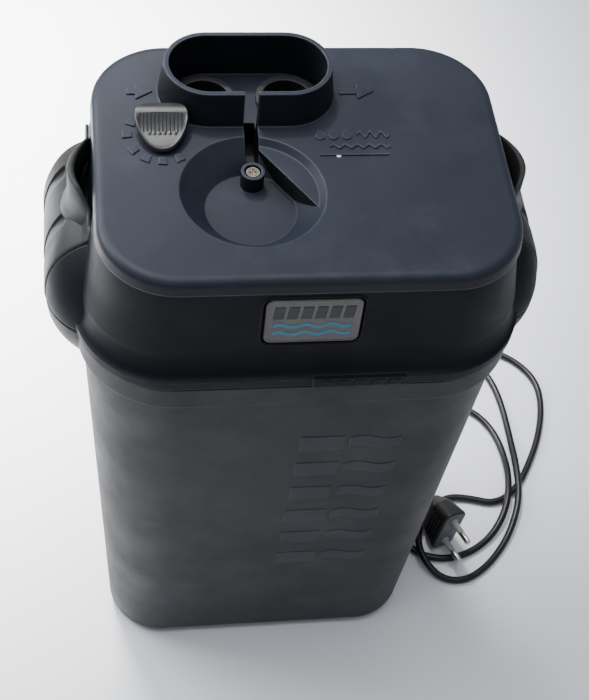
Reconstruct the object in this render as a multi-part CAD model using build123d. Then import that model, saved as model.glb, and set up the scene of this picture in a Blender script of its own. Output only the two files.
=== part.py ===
from build123d import *
import math
import os

# External canister filter for an aquarium: a tapered tub, a motor head with a screwed floor, a cover with an
# oval hose collar, two flared clamps on the tub's sides, a priming pump, the pump motor and the media stack.
# Millimetres. The origin is on the surface the filter stands on, in the middle of the tub. +Z is up, the
# front looks along -Y, the mains lead leaves at the back.

# ---- tub ------------------------------------------------------------------------------------------------
foot_h = 2.0            # rubber pads under the tub
tub_foot = (182.0, 131.0, 31.0)      # width, depth, corner radius of the tub's outside at its base
tub_top = (203.0, 154.0, 43.0)       # the same just under the rim band
band = (208.5, 159.5, 45.5)          # rim band
band_low_z = 274.0
band_top_z = 289.0
tub_wall = 3.0
tub_floor = 3.5

# ---- head -----------------------------------------------------------------------------------------------
gap = 1.5               # dark line between tub and head, filled by the gasket further in
flange = (210.0, 160.5, 45.0)
shoulder = (202.0, 147.5, 39.0)
neck = (186.0, 142.5, 34.0)          # head wall just under the cover
flange_h = 5.0
shoulder_z = 310.0
neck_z = 349.0
head_wall = 3.0

# ---- cover ----------------------------------------------------------------------------------------------
cover_lip = (189.5, 146.0, 35.5)
cover_z = 349.3         # underside of the lip
deck_z = 357.5          # flat top
cover_t = 3.0
cover_round = 4.5

# ---- side bulges and clamps ----------------------------------------------------------------------------
bulge_y = 5.0
bulge_reach = 118.0     # half width over the bulges
bulge_half = 54.5       # half length along Y at the parting line
bulge_core = (92.0, 29.0)            # half sizes that the dome shrinks towards
bulge_r = 29.0
dome_up = 41.0
dome_down = 40.0
clamp_y = 7.0
clamp_half = 31.0
clamp_t = 3.2
clamp_gap = 0.45
recess_depth = 4.2
pin_x = 109.0
pin_z = 277.0
pin_r = 2.0
knuckle_r = 6.0
lip_at = (94.6, 2.0)                 # middle of the half-moon grip that stands up from each clamp
lip_outer = (10.0, 20.0)
lip_inner = (7.6, 17.6)
lip_top_z = 348.0
run_fit = 0.05

# ---- hose collar ----------------------------------------------------------------------------------------
collar_x = -22.8
collar_y = 40.5
collar_top = (77.0, 41.0)            # length along X, width along Y, outside at the rim
collar_base = (82.0, 46.0)
collar_wall = 2.2
collar_h = 17.5
collar_floor_z = 351.0
port_offset = 19.3
port_r = 11.5
port_out_r = 14.5
post_at = (62.0, 61.0)
slot_w = 6.3
channel_floor_z = 337.0

# ---- bowl in the cover ----------------------------------------------------------------------------------
bowl_x = -25.0
bowl_y = -21.0
bowl_top_r = 32.5
bowl_floor_r = 20.5
bowl_depth = 13.0
ledge_drop = 3.0
ledge_a = (-19.3, 5.3)
ledge_b = (4.8, -30.6)
boss_at = (-23.4, -6.0)
boss_r = 5.3
boss_top_z = 353.5

# ---- priming pump ---------------------------------------------------------------------------------------
primer_at = (-63.3, 12.3)
knob_top_r = 12.0
knob_base_r = 10.0
knob_h = 9.5
rod_r = 4.0
primer_bore = 9.9
primer_travel = 18.0

# ---- motor and impeller ---------------------------------------------------------------------------------
motor_at = (48.0, 0.0)
shaft_r = 1.5
magnet_r = 9.0
well_r = 10.0

# ---- badge ----------------------------------------------------------------------------------------------
badge_x = -1.2
badge_z = 329.5
badge_w = 42.5
badge_h = 28.0

# ---- mains lead -----------------------------------------------------------------------------------------
cord_d = 4.6
gland_x = 66.0
gland_z = 312.0
gland_len = 26.0

os.makedirs("parts", exist_ok=True)


def section(size, z, y=0.0, grow=0.0):
    """A rounded rectangle (width, depth, corner radius) at height z, grown outwards on all sides."""
    width, depth, radius = size
    return Pos(0, y, z) * RectangleRounded(width + 2 * grow, depth + 2 * grow, radius + grow)


def taper(bottom, top, z0, z1, grow=0.0):
    """A straight-sided body between two rounded rectangles."""
    return loft([section(bottom, z0, 0, grow), section(top, z1, 0, grow)], ruled=True)


def between(low, high, share):
    """The section a share of the way from one size to another."""
    return tuple(a + (b - a) * share for a, b in zip(low, high))


def box(x0, x1, y0, y1, z0, z1):
    return Pos((x0 + x1) / 2, (y0 + y1) / 2, (z0 + z1) / 2) * Box(x1 - x0, y1 - y0, z1 - z0)


def rod(x, y, z0, z1, radius):
    return Pos(x, y, (z0 + z1) / 2) * Cylinder(radius, z1 - z0)


def tube(x, y, z0, z1, outer, inner):
    return rod(x, y, z0, z1, outer) - rod(x, y, z0 - 1, z1 + 1, inner)


def stadium(size, z):
    """An oval with straight long sides at height z on the collar's axis."""
    return Pos(collar_x, collar_y, z) * SlotOverall(size[0], size[1])


def keep(node, shape):
    """Write one piece to its own file under a plain name."""
    shape.label = node
    export_step(shape, f"parts/{node}.step")


def dome_half(z, start_z, height):
    """Half width and half length of a side bulge at height z, an ellipse that starts at the parting line."""
    share = math.sqrt(max(0.0, 1.0 - ((z - start_z) / height) ** 2))
    half_x = bulge_core[0] + (bulge_reach - bulge_core[0]) * share
    half_y = bulge_core[1] + (bulge_half - bulge_core[1]) * share
    return half_x, half_y


def bulge(start_z, height, steps, inset=0.0):
    """The bar that makes both side bulges: rounded sections that shrink away from the parting line."""
    sections = []
    for share in steps:
        z = start_z + height * share
        half_x, half_y = dome_half(z, start_z, height)
        size = (2 * half_x, 2 * half_y, bulge_r)
        sections.append(section(size, z, bulge_y, -inset))
    return loft(sections, ruled=False)


dome_steps = (0.0, 0.25, 0.5, 0.72, 0.88, 0.96)

# ---- tub ------------------------------------------------------------------------------------------------
head_z = band_top_z + gap


def make_tub():
    shell = taper(tub_foot, tub_top, foot_h, band_low_z + 1)
    bottom_edges = shell.edges().group_by(Axis.Z)[0]
    shell = fillet(bottom_edges, 8.0)
    rim = extrude(section(band, band_low_z), band_top_z - band_low_z)
    rim = fillet(rim.edges().group_by(Axis.Z)[0], 2.0)
    lower = bulge(band_top_z, -dome_down, dome_steps)
    body = shell + rim + lower
    inside_foot = between(tub_foot, tub_top, tub_floor / band_low_z)
    inside_top = between(tub_foot, tub_top, 1.06)
    cavity = taper(inside_foot, inside_top, foot_h + tub_floor, band_top_z + 2, -tub_wall)
    body -= cavity
    for side in (-1, 1):
        y0 = clamp_y - clamp_half - clamp_gap
        y1 = clamp_y + clamp_half + clamp_gap
        pocket = box(102.2, 125.0, y0, y1, pin_z - knuckle_r - 2.0, band_top_z + 1)
        hole = Pos(pin_x, clamp_y, pin_z) * Rot(90, 0, 0) * Cylinder(pin_r, 2 * clamp_half + 14)
        cut = pocket + hole
        body -= cut if side > 0 else mirror(cut, Plane.YZ)
    return body


def make_gasket():
    outer = section(band, band_top_z, 0, -2.2)
    inner = section(band, band_top_z, 0, -6.0)
    return extrude(outer - inner, gap)


def make_feet():
    pads = []
    for sx in (-1, 1):
        for sy in (-1, 1):
            pads.append(rod(sx * 62, sy * 38, 0, foot_h, 9.0))
    return Compound(children=pads)


# ---- head shell -----------------------------------------------------------------------------------------
def head_outside(grow=0.0):
    """Flange, concave shoulder and head wall in one."""
    slab = extrude(section(flange, head_z, 0, grow), flange_h)
    cove = []
    for angle in (0, 22.5, 45, 67.5, 90):
        rise = 1 - math.cos(math.radians(angle))
        share = math.sin(math.radians(angle))
        z = head_z + flange_h + (shoulder_z - head_z - flange_h) * rise
        cove.append(section(between(flange, shoulder, share), z, 0, grow))
    wall = taper(shoulder, neck, shoulder_z, neck_z, grow)
    return slab + loft(cove, ruled=False) + wall


def make_head_shell():
    dome = bulge(head_z, dome_up, dome_steps)
    outside = head_outside() + dome
    space = loft([section(shoulder, head_z - 1, 0, -head_wall), section(shoulder, shoulder_z, 0, -head_wall),
                  section(neck, neck_z + 0.5, 0, -head_wall)], ruled=True)
    body = outside - space
    core = bulge(head_z, dome_up, dome_steps, recess_depth)
    y0 = clamp_y - clamp_half - clamp_gap
    y1 = clamp_y + clamp_half + clamp_gap
    slice_box = box(90, 130, y0, y1, head_z - 1, head_z + dome_up + 4)
    recess = slice_box - core - head_outside()
    body = body - recess - mirror(recess, Plane.YZ)
    for sx in (-1, 1):
        for sy in (-1, 1):
            post = rod(sx * post_at[0], sy * post_at[1], head_z + 4.5, neck_z - 6, 4.5)
            pilot = rod(sx * post_at[0], sy * post_at[1], head_z + 4, head_z + 18, 1.5)
            x0, x1 = sorted((sx * post_at[0], sx * (post_at[0] + 20.3)))
            rib = box(x0, x1, sy * post_at[1] - 1.2, sy * post_at[1] + 1.2, head_z + 10, neck_z - 6.5)
            body = body + post + rib - pilot
    window = badge_recess()
    tab = box(1.5, 45.0, -flange[1] / 2 - 0.9, -flange[1] / 2 + 2, head_z - 0.2, head_z + flange_h + 0.6)
    gland_hole = Pos(gland_x, neck[1] / 2, gland_z) * Rot(90, 0, 0) * Cylinder(4.0, 20)
    return body - window + tab - gland_hole


def wall_lean():
    """Lean of the front head wall from upright, in degrees."""
    return math.degrees(math.atan2((shoulder[1] - neck[1]) / 2, neck_z - shoulder_z))


def wall_front(z):
    share = (z - shoulder_z) / (neck_z - shoulder_z)
    return -(shoulder[1] + (neck[1] - shoulder[1]) * share) / 2


def on_front(shape):
    """Stand a piece drawn in the XZ plane on the leaning front wall at the badge."""
    place = Pos(badge_x, wall_front(badge_z), badge_z) * Rot(-wall_lean(), 0, 0)
    return place * shape


def badge_recess():
    pocket = Rot(90, 0, 0) * Pos(0, 0, -1.4) * extrude(RectangleRounded(badge_w + 3, badge_h + 3, 4.5), 6)
    return on_front(pocket)


def make_badge():
    plate = Rot(90, 0, 0) * Pos(0, 0, -1.4) * extrude(RectangleRounded(badge_w, badge_h, 3.5), 1.5)
    return on_front(plate)


# ---- head floor -----------------------------------------------------------------------------------------
floor_z0 = head_z + 0.5
floor_z1 = floor_z0 + 3.5


def make_head_floor():
    plate = extrude(section(shoulder, floor_z0, 0, -head_wall - 0.2), floor_z1 - floor_z0)
    skirt_outer = section(shoulder, floor_z0 - 12, 0, -head_wall - 0.4)
    skirt_inner = section(shoulder, floor_z0 - 12, 0, -head_wall - 3.2)
    skirt = extrude(skirt_outer - skirt_inner, 12)
    volute = tube(motor_at[0], motor_at[1], floor_z0 - 12, floor_z0, 24.0, 21.0)
    body = plate + skirt + volute
    body -= rod(motor_at[0], motor_at[1], floor_z0 - 1, floor_z1 + 1, well_r + 1.6)
    outlet_x = collar_x + port_offset
    intake_x = collar_x - port_offset
    body -= rod(intake_x, collar_y, floor_z0 - 1, floor_z1 + 1, port_out_r + 0.05)
    body -= rod(outlet_x, collar_y, floor_z0 - 1, floor_z1 + 1, port_r)
    body -= rod(primer_at[0], primer_at[1], floor_z0 - 1, floor_z1 + 1, 5.0)
    for sx in (-1, 1):
        for sy in (-1, 1):
            body -= rod(sx * post_at[0], sy * post_at[1], floor_z0 - 1, floor_z1 + 1, 2.0)
    return body


def make_floor_screws():
    screws = []
    for sx in (-1, 1):
        for sy in (-1, 1):
            head = rod(sx * post_at[0], sy * post_at[1], floor_z0 - 2.2, floor_z0 - 0.02, 3.4)
            shank = rod(sx * post_at[0], sy * post_at[1], floor_z0 - 0.02, floor_z0 + 14, 1.48)
            screws.append(head + shank)
    return Compound(children=screws)


# ---- cover ----------------------------------------------------------------------------------------------
def bowl_space():
    cone = Pos(bowl_x, bowl_y, deck_z - bowl_depth / 2) * Cone(bowl_floor_r, bowl_top_r, bowl_depth)
    return cone


def ledge_block():
    """The half of the bowl right of a straight line, filled to a few millimetres under the deck."""
    ax, ay = ledge_a
    bx, by = ledge_b
    angle = math.degrees(math.atan2(by - ay, bx - ax))
    side = Pos((ax + bx) / 2, (ay + by) / 2, 0) * Rot(0, 0, angle)
    slab = side * box(-60, 60, 0, 80, deck_z - bowl_depth, deck_z - ledge_drop)
    return slab


def make_cover():
    outer = taper(cover_lip, between(cover_lip, (186.0, 142.5, 34.0), 0.6), cover_z, deck_z)
    top_edges = outer.edges().group_by(Axis.Z)[-1]
    outer = fillet(top_edges, cover_round)
    under = taper(cover_lip, cover_lip, cover_z - 1, deck_z - cover_t, -3.2)
    cap = outer - under
    skirt = extrude(section(neck, neck_z - 6, 0, -head_wall - 0.4), 12)
    skirt -= extrude(section(neck, neck_z - 7, 0, -head_wall - 2.4), 14)
    seat = extrude(section(neck, neck_z + 0.1, 0, -0.5), deck_z - cover_t - neck_z)
    seat -= extrude(section(neck, neck_z - 1, 0, -3.0), 20)
    cap = cap + skirt + seat
    # bowl: a cup of even wall hung under the deck
    cup = Pos(bowl_x, bowl_y, deck_z - (bowl_depth + 2.5) / 2) * Cone(
        bowl_floor_r + 2.5, bowl_top_r + 2.5, bowl_depth + 2.5)
    channel_end = boss_at[1] + boss_r + 1.2
    trough = box(collar_x - slot_w / 2 - 2, collar_x + slot_w / 2 + 2, channel_end - 1.5, collar_y - 14,
                 channel_floor_z - 2, deck_z - 0.5)
    space = bowl_space()
    ledge = ledge_block() & space
    cap = cap + cup + trough - space + ledge
    # collar: tapered oval wall round a sunk floor
    wall = loft([stadium(collar_base, deck_z), stadium(collar_top, deck_z + collar_h)], ruled=True)
    sleeve = extrude(stadium((collar_top[0], collar_top[1]), collar_floor_z - 3), deck_z - collar_floor_z + 3)
    hollow_size = (collar_top[0] - 2 * collar_wall, collar_top[1] - 2 * collar_wall)
    hollow = extrude(stadium(hollow_size, collar_floor_z), 40)
    cap = cap + wall + sleeve - hollow
    for side in (-1, 1):
        cap -= rod(collar_x + side * port_offset, collar_y, collar_floor_z - 5, collar_floor_z + 1, port_out_r)
    # slot through the collar's front wall, and the channel from there to the boss
    slot = box(collar_x - slot_w / 2, collar_x + slot_w / 2, channel_end, collar_y - 6, collar_floor_z,
               deck_z + collar_h + 1)
    channel = box(collar_x - slot_w / 2, collar_x + slot_w / 2, channel_end, collar_y - 14, channel_floor_z, deck_z + 1)
    sill = box(collar_x - slot_w / 2 - 1.2, collar_x + slot_w / 2 + 1.2, channel_end - 1.2, channel_end,
               deck_z - bowl_depth - 1, deck_z - bowl_depth + 1.6)
    cap = cap - channel - slot + sill
    cap += rod(boss_at[0], boss_at[1], deck_z - bowl_depth - 1, boss_top_z, boss_r)
    cap -= rod(boss_at[0], boss_at[1], boss_top_z - 2.5, boss_top_z + 1, 3.9)
    cap -= rod(boss_at[0], boss_at[1], boss_top_z - 10, boss_top_z, 1.2)
    cap -= rod(primer_at[0], primer_at[1], deck_z - 8, deck_z + 1, rod_r + run_fit)
    return cap


def make_cover_screw():
    head = rod(*boss_at, boss_top_z - 2.48, boss_top_z - 0.6, 3.0)
    shank = rod(*boss_at, boss_top_z - 9.5, boss_top_z - 2.48, 1.18)
    cross = box(-2.0, 2.0, -0.4, 0.4, -1, 1) + box(-0.4, 0.4, -2.0, 2.0, -1, 1)
    return head + shank - Pos(boss_at[0], boss_at[1], boss_top_z - 0.6) * cross


def make_port(side, bottom_z):
    x = collar_x + side * port_offset
    sleeve = tube(x, collar_y, bottom_z, collar_floor_z + 2.5, port_out_r - 0.02, port_r)
    return sleeve


# ---- clamps ---------------------------------------------------------------------------------------------
def head_half_x(z):
    """Half width of the head wall itself at height z, without the bulges."""
    if z >= shoulder_z:
        share = (z - shoulder_z) / (neck_z - shoulder_z)
        return (shoulder[0] + (neck[0] - shoulder[0]) * share) / 2
    low = head_z + flange_h
    share = max(0.0, min(1.0, (z - low) / (shoulder_z - low)))
    return (flange[0] + (shoulder[0] - flange[0]) * math.sqrt(share)) / 2


def clamp_lines():
    """Outer and inner lines of the clamp's cross-section, from the pin over the bulge to the tab."""
    outer = [(pin_x + knuckle_r - 0.3, pin_z), (bulge_reach + 0.3, head_z - 4)]
    inner = [(pin_x + knuckle_r - 3.4, pin_z), (bulge_reach - clamp_t, head_z - 4)]
    for rise in (0, 7, 14, 21, 27, 32, 36, 39.5):
        z = head_z + rise
        half_x, _ = dome_half(z, head_z, dome_up)
        under = max(half_x - recess_depth + clamp_gap, head_half_x(z) + clamp_gap + 0.2)
        outer.append((max(half_x + 0.5, under + 2.6), z))
        inner.append((under, z))
    tab_x = head_half_x(neck_z - 1) + clamp_gap + 0.3
    outer.append((tab_x + 2.2, neck_z - 1))
    inner.append((tab_x, neck_z - 1))
    return outer, inner


def clamp_slab(points):
    """An outline in the XZ plane drawn out over the clamp's length."""
    outline = make_face(Polyline(*points, close=True))
    return Pos(0, clamp_y + clamp_half, 0) * extrude(Plane.XZ * outline, 2 * clamp_half)


def make_clamp():
    outer, inner = clamp_lines()
    plate = clamp_slab(outer + inner[::-1])
    knuckle = Pos(pin_x, clamp_y, pin_z) * Rot(90, 0, 0) * Cylinder(knuckle_r, 2 * clamp_half)
    bore = Pos(pin_x, clamp_y, pin_z) * Rot(90, 0, 0) * Cylinder(pin_r + run_fit, 2 * clamp_half + 2)
    # half-moon finger opening beside the head wall, and the top cut down to one tab at the rear
    moon = extrude(Pos(*lip_at, head_z + 12) * Ellipse(*lip_inner), 60)
    tab_front_y = lip_at[1] + 16.0
    front_top = box(80, 125, clamp_y - clamp_half - 1, tab_front_y, head_z + dome_up + 1.5, neck_z + 5)
    # the grip round the opening, kept off the head wall and off the bulge under the clamp
    ring = Ellipse(*lip_outer) - Ellipse(*lip_inner)
    lip = extrude(Pos(*lip_at, head_z + 20) * ring, lip_top_z - head_z - 20)
    lip -= clamp_slab(inner + [(80, neck_z - 1), (80, pin_z)])
    lip -= box(80, inner[-1][0], -60, 60, head_z, neck_z + 5)
    return plate + knuckle - bore - moon - front_top + lip


def make_clamp_pin():
    return Pos(pin_x, clamp_y, pin_z) * Rot(90, 0, 0) * Cylinder(pin_r - 0.02, 2 * clamp_half + 13)


# ---- motor, pump and ducts ------------------------------------------------------------------------------
pump_z0 = floor_z0 - 12
motor_x, motor_y = motor_at


def make_impeller_cover():
    disc = rod(motor_x, motor_y, pump_z0 - 2.5, pump_z0, 24.0)
    nozzle = rod(motor_x, motor_y, pump_z0 - 9, pump_z0 - 2.5, 11.0)
    body = disc + nozzle - rod(motor_x, motor_y, pump_z0 - 10, pump_z0 + 1, 9.0)
    spider = box(motor_x - 9.5, motor_x + 9.5, motor_y - 1.2, motor_y + 1.2, pump_z0 - 2.5, pump_z0)
    ring = rod(motor_x, motor_y, pump_z0 - 2.5, pump_z0, 6.0)
    return body + spider + ring - rod(motor_x, motor_y, pump_z0 - 3, pump_z0 + 1, 4.02)


def make_bushings():
    lower = tube(motor_x, motor_y, pump_z0 - 2.5, pump_z0 + 1.0, 4.0, shaft_r)
    upper = tube(motor_x, motor_y, well_top - 4.0, well_top, 4.0, shaft_r)
    return Compound(children=[lower, upper])


well_top = 328.0
magnet_z0 = 296.0
magnet_z1 = 321.0


def make_rotor_well():
    body = rod(motor_x, motor_y, floor_z0, well_top + 2, well_r + 1.5)
    body += rod(motor_x, motor_y, floor_z1, floor_z1 + 2, 15.5)
    body -= rod(motor_x, motor_y, floor_z0 - 1, well_top, well_r)
    seat = tube(motor_x, motor_y, well_top - 4, well_top, 6.0, 4.02)
    return body + seat


def make_impeller_shaft():
    return rod(motor_x, motor_y, pump_z0 - 2.5, well_top, shaft_r - 0.01)


def make_rotor_magnet():
    return tube(motor_x, motor_y, magnet_z0, magnet_z1, magnet_r, 2.6)


def make_impeller():
    body = rod(motor_x, motor_y, pump_z0 + 1.6, magnet_z1 + 1.0, 2.58)
    body += rod(motor_x, motor_y, pump_z0 + 1.6, magnet_z0 - 0.02, 5.5)
    body += rod(motor_x, motor_y, magnet_z0 - 2.0, magnet_z0 - 0.02, 9.0)
    for index in range(6):
        blade = box(4.5, 18.5, -0.9, 0.9, pump_z0 + 1.6, pump_z0 + 10.5)
        body += Pos(motor_x, motor_y, 0) * Rot(0, 0, 60 * index) * blade
    return body - rod(motor_x, motor_y, pump_z0, magnet_z1 + 2, shaft_r + run_fit)


core_y1 = motor_y + 42


def make_stator_core():
    core = box(motor_x - 20, motor_x + 20, motor_y - 16, core_y1, 302, 320)
    window = box(motor_x - 10.5, motor_x + 10.5, motor_y + 15, core_y1 - 11, 300, 322)
    return core - window - rod(motor_x, motor_y, 300, 322, well_r + 1.6)


def make_stator_coil():
    outer = box(motor_x - 9.5, motor_x + 9.5, core_y1 - 18, core_y1 + 7, 295.5, 327)
    return outer - box(motor_x - 12, motor_x + 12, core_y1 - 11, core_y1, 302, 320)


def make_motor_housing():
    x0, x1 = motor_x - 24, motor_x + 24
    y0, y1 = motor_y - 20, core_y1 + 11
    block = box(x0, x1, y0, y1, floor_z1, 334)
    block = fillet(block.edges().filter_by(Axis.Z), 6)
    block = fillet(block.edges().group_by(Axis.Z)[-1], 3)
    inside = box(x0 + 2, x1 - 2, y0 + 2, y1 - 2, floor_z1 - 1, 332)
    return block - fillet(inside.edges().filter_by(Axis.Z), 4)


def duct_slot(width, z0, z1):
    """A straight oval channel from the pump to the outlet port."""
    end_x = collar_x + port_offset
    dx, dy = end_x - motor_x, collar_y - motor_y
    angle = math.degrees(math.atan2(dy, dx))
    middle = Pos((end_x + motor_x) / 2, (collar_y + motor_y) / 2, z0)
    return extrude(middle * Rot(0, 0, angle) * SlotCenterToCenter(math.hypot(dx, dy), width), z1 - z0)


def make_outlet_duct():
    body = duct_slot(27.0, pump_z0, floor_z0 - 0.05) - duct_slot(23.0, pump_z0 + 2, floor_z0)
    return body - rod(motor_x, motor_y, pump_z0 - 1, floor_z0 + 1, 24.05)


# ---- priming pump ---------------------------------------------------------------------------------------
knob_z0 = deck_z + 0.5
piston_z0 = 312.0
piston_h = 7.0


def make_primer_cylinder():
    under_deck = deck_z - cover_t
    body = tube(*primer_at, 300, under_deck, primer_bore + 2, primer_bore)
    return body + tube(*primer_at, 298, 300, primer_bore + 2, 4.0)


def make_primer_rod():
    return rod(*primer_at, piston_z0 + piston_h, knob_z0, rod_r)


def make_primer_piston():
    body = rod(*primer_at, piston_z0, piston_z0 + piston_h, primer_bore - 0.3)
    return body - tube(*primer_at, piston_z0 + 2.4, piston_z0 + 4.6, primer_bore + 1, primer_bore - 1.7)


def make_primer_seal():
    return tube(*primer_at, piston_z0 + 2.42, piston_z0 + 4.58, primer_bore - 0.04, primer_bore - 1.68)


def make_primer_knob():
    cone = Pos(*primer_at, knob_z0 + knob_h / 2) * Cone(knob_base_r, knob_top_r, knob_h)
    return fillet(cone.edges().group_by(Axis.Z)[-1], 1.2)


# ---- filter media ---------------------------------------------------------------------------------------
basket_x = (-44.0, 82.0)
basket_half_y = 50.0
basket_h = 59.0
basket_gap = 0.4
stack_z0 = 7.0
basket_count = 4


def basket_block(z0, z1, inset):
    width = basket_x[1] - basket_x[0]
    face = RectangleRounded(width - 2 * inset, 2 * (basket_half_y - inset), 14 - inset)
    return extrude(Pos(sum(basket_x) / 2, 0, z0) * face, z1 - z0)


def grid_slots(z0, z1, count_x, count_y, width, depth):
    """A grid of upright slots through a basket's floor or lid."""
    pitch_x = (basket_x[1] - basket_x[0] - 16) / count_x
    pitch_y = (2 * basket_half_y - 14) / count_y
    slots = []
    for column in range(count_x):
        for row in range(count_y):
            x = sum(basket_x) / 2 + (column - (count_x - 1) / 2) * pitch_x
            y = (row - (count_y - 1) / 2) * pitch_y
            slots.append(box(x - width / 2, x + width / 2, y - depth / 2, y + depth / 2, z0, z1))
    return Compound(children=slots)


def make_basket(index):
    z0 = stack_z0 + index * (basket_h + basket_gap)
    body = basket_block(z0, z0 + basket_h, 0) - basket_block(z0 + 2, z0 + basket_h + 1, 1.8)
    return body - grid_slots(z0 - 1, z0 + 3, 9, 4, 7.0, 17.0)


def make_basket_lid():
    z0 = stack_z0 + basket_count * (basket_h + basket_gap)
    body = basket_block(z0, z0 + 3, 0) - grid_slots(z0 - 1, z0 + 4, 9, 4, 7.0, 17.0)
    bar = box(22.9, 27.4, -30, 30, z0 + 2.5, z0 + 13) - box(20, 30, -24, 24, z0 + 3, z0 + 9)
    return body + bar


foam_x = (-81.0, -47.0)
foam_half_y = 46.0
foam_z = (7.0, 262.0)
frame_bar = 3.0


def make_foam_frame():
    x0, x1 = foam_x
    body = box(x0, x1, -foam_half_y, foam_half_y, *foam_z)
    body -= box(x0 + frame_bar, x1 - frame_bar, -foam_half_y + frame_bar, foam_half_y - frame_bar,
                foam_z[0] + frame_bar, foam_z[1] - frame_bar)
    rows = 5
    pitch = (foam_z[1] - foam_z[0] - frame_bar) / rows
    for row in range(rows):
        z0 = foam_z[0] + frame_bar + row * pitch
        for sy in (-1, 1):
            y0, y1 = sorted((sy * 2.0, sy * (foam_half_y - frame_bar)))
            body -= box(x0 - 1, x1 + 1, y0, y1, z0, z0 + pitch - frame_bar)
    return body


def make_foam(index):
    inner_x0 = foam_x[0] + frame_bar + 0.2
    depth = (foam_x[1] - foam_x[0] - 2 * frame_bar - 0.8) / 2
    x0 = inner_x0 + index * (depth + 0.4)
    reach = foam_half_y - frame_bar - 0.2
    block = box(x0, x0 + depth, -reach, reach, foam_z[0] + frame_bar + 0.2, foam_z[1] - frame_bar - 0.2)
    return fillet(block.edges().filter_by(Axis.X), 3)


# ---- mains lead -----------------------------------------------------------------------------------------
lead_z = cord_d / 2
over_z = lead_z + cord_d + 0.2
coil_at = (105.0, 168.0)
coil_r = 27.0
plug_face = (128.1, -14.0, 18.9)    # middle of the face that carries the pins
plug_turn = -68.5
plug_rise = 5.0                     # the plug rests on its tapered narrow side, one pin above the other
plug_lean = 12.5
plug_len = 24.0
plug_sections = ((-plug_len, 9.5, 18), (-plug_len * 0.62, 15, 28), (0, 17.6, 35))
pin_pitch = 18.6
pin_d = 4.0
pin_len = 18.5
boot_end = (119.8, 10.4, 16.6)      # where the lead meets the short boot at the plug's rear
boot_dir = (0.9, -0.42, 0.08)


def gland_wall_y(z):
    return -wall_front(z)


def make_strain_relief():
    y0 = gland_wall_y(gland_z) - head_wall - 3.2
    y1 = gland_wall_y(gland_z) + 1.2
    inner_flange = Pos(gland_x, y0, gland_z) * Rot(-90, 0, 0) * extrude(Circle(6.5), 1.0)
    neck_part = Pos(gland_x, y0, gland_z) * Rot(-90, 0, 0) * extrude(Circle(3.9), y1 - y0 + 1)
    boot = Pos(gland_x, y1 + gland_len / 2, gland_z) * Rot(-90, 0, 0) * Cone(6.2, 3.2, gland_len)
    return inner_flange + neck_part + boot


def drop_route():
    """From the strain relief down behind the filter to the coil."""
    y0 = gland_wall_y(gland_z) + 1.2 + gland_len
    return [
        (gland_x, y0, gland_z), (gland_x, y0 + 13, 310), (gland_x + 0.5, y0 + 26, 298), (gland_x + 1, y0 + 32, 274),
        (gland_x + 0.5, y0 + 33, 228), (gland_x, y0 + 32.4, 172), (gland_x, y0 + 33.5, 116), (gland_x + 1, y0 + 34.5, 66),
        (gland_x + 4, y0 + 36, 32), (gland_x + 8, y0 + 41, 12.5), (gland_x + 11, y0 + 52, 4.4),
        (coil_at[0] - coil_r - 0.5, y0 + 66, lead_z)]


def loops_route():
    """From the coil round the open loops beside the filter to the plug."""
    low, over = lead_z, over_z
    return [
        (118, 195, low), (139, 188, low), (157, 174, low), (174, 157, low), (189, 140, low), (206, 129, low),
        (217, 112, low), (217, 91, low), (209, 65, low), (197, 42, low), (185, 24, low), (168, 13, low),
        (151, 18.5, low), (135.5, 20.5, low), (122.5, 12, low), (113.5, -1, low + 1.3), (109, -14, over + 0.4),
        (111, -28, over - 0.2), (121, -40, low + 0.5), (136, -42.5, low), (150, -35.5, low),
        (163.5, -23, low), (175, -7, low + 1.5), (184, 14, over), (187, 38, over), (188, 66, low + 1),
        (188, 92, low), (184, 115, low), (174, 132, low), (157, 139, low), (140, 133, low), (132.5, 117, low),
        (139, 101, low), (154, 94.5, low), (168, 86, low), (177.5, 71, low), (181, 52, low + 1),
        (180, 31, over), (174.5, 9, over), (163, -9, low + 1), (147, -21, low), (130, -26, low),
        (115, -24, low), (102.5, -15.5, 2.6), (97, -2, 5.2), (100.5, 10, 9.2), (111, 14.5, 13.6), boot_end]


def lead(points):
    """A round lead along straight runs joined by tangent arcs as large as the runs allow."""
    nodes = [Vector(*point) for point in points]
    radii = []
    for before, here, after in zip(nodes, nodes[1:], nodes[2:]):
        turn = (here - before).get_angle(after - here)
        shorter = min((here - before).length, (after - here).length)
        radii.append(0.45 * shorter / math.tan(math.radians(turn) / 2))
    print("arc radii", [round(radius, 1) for radius in radii])
    print("runs", [round((b - a).length, 1) for a, b in zip(nodes, nodes[1:])])
    path = FilletPolyline(*nodes, radius=radii)
    start = Plane(origin=nodes[0], z_dir=nodes[1] - nodes[0])
    solid = sweep(start * Circle(cord_d / 2), path=path)
    print("lead length", round(path.length, 1), "volume share", round(
        solid.volume / (path.length * math.pi * cord_d ** 2 / 4), 4))
    return solid


def make_coil():
    ring = Pos(*coil_at, 0) * (Circle(coil_r + 5.4) - Circle(coil_r - 5.4))
    return extrude(ring, 9.4)


def plug_place():
    return Pos(*plug_face) * Rot(0, 0, plug_turn) * Rot(0, -plug_rise, 0) * Rot(-plug_lean, 0, 0)


def make_plug_body():
    """Moulded plug body with a short boot for the lead at its rear."""
    slices = [Pos(x, 0, 0) * (Plane.YZ * RectangleRounded(thick, wide, thick * 0.4))
              for x, thick, wide in plug_sections]
    body = plug_place() * loft(slices, ruled=True)
    boot = Plane(origin=boot_end, z_dir=boot_dir) * extrude(Circle(3.9), 6.0)
    return body + boot


def make_plug_pins():
    pins = []
    for side in (-1, 1):
        pin = Pos(0, 0, side * pin_pitch / 2) * Rot(0, 90, 0) * extrude(Circle(pin_d / 2), pin_len)
        pins.append(plug_place() * pin)
    return Compound(children=pins)


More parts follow.
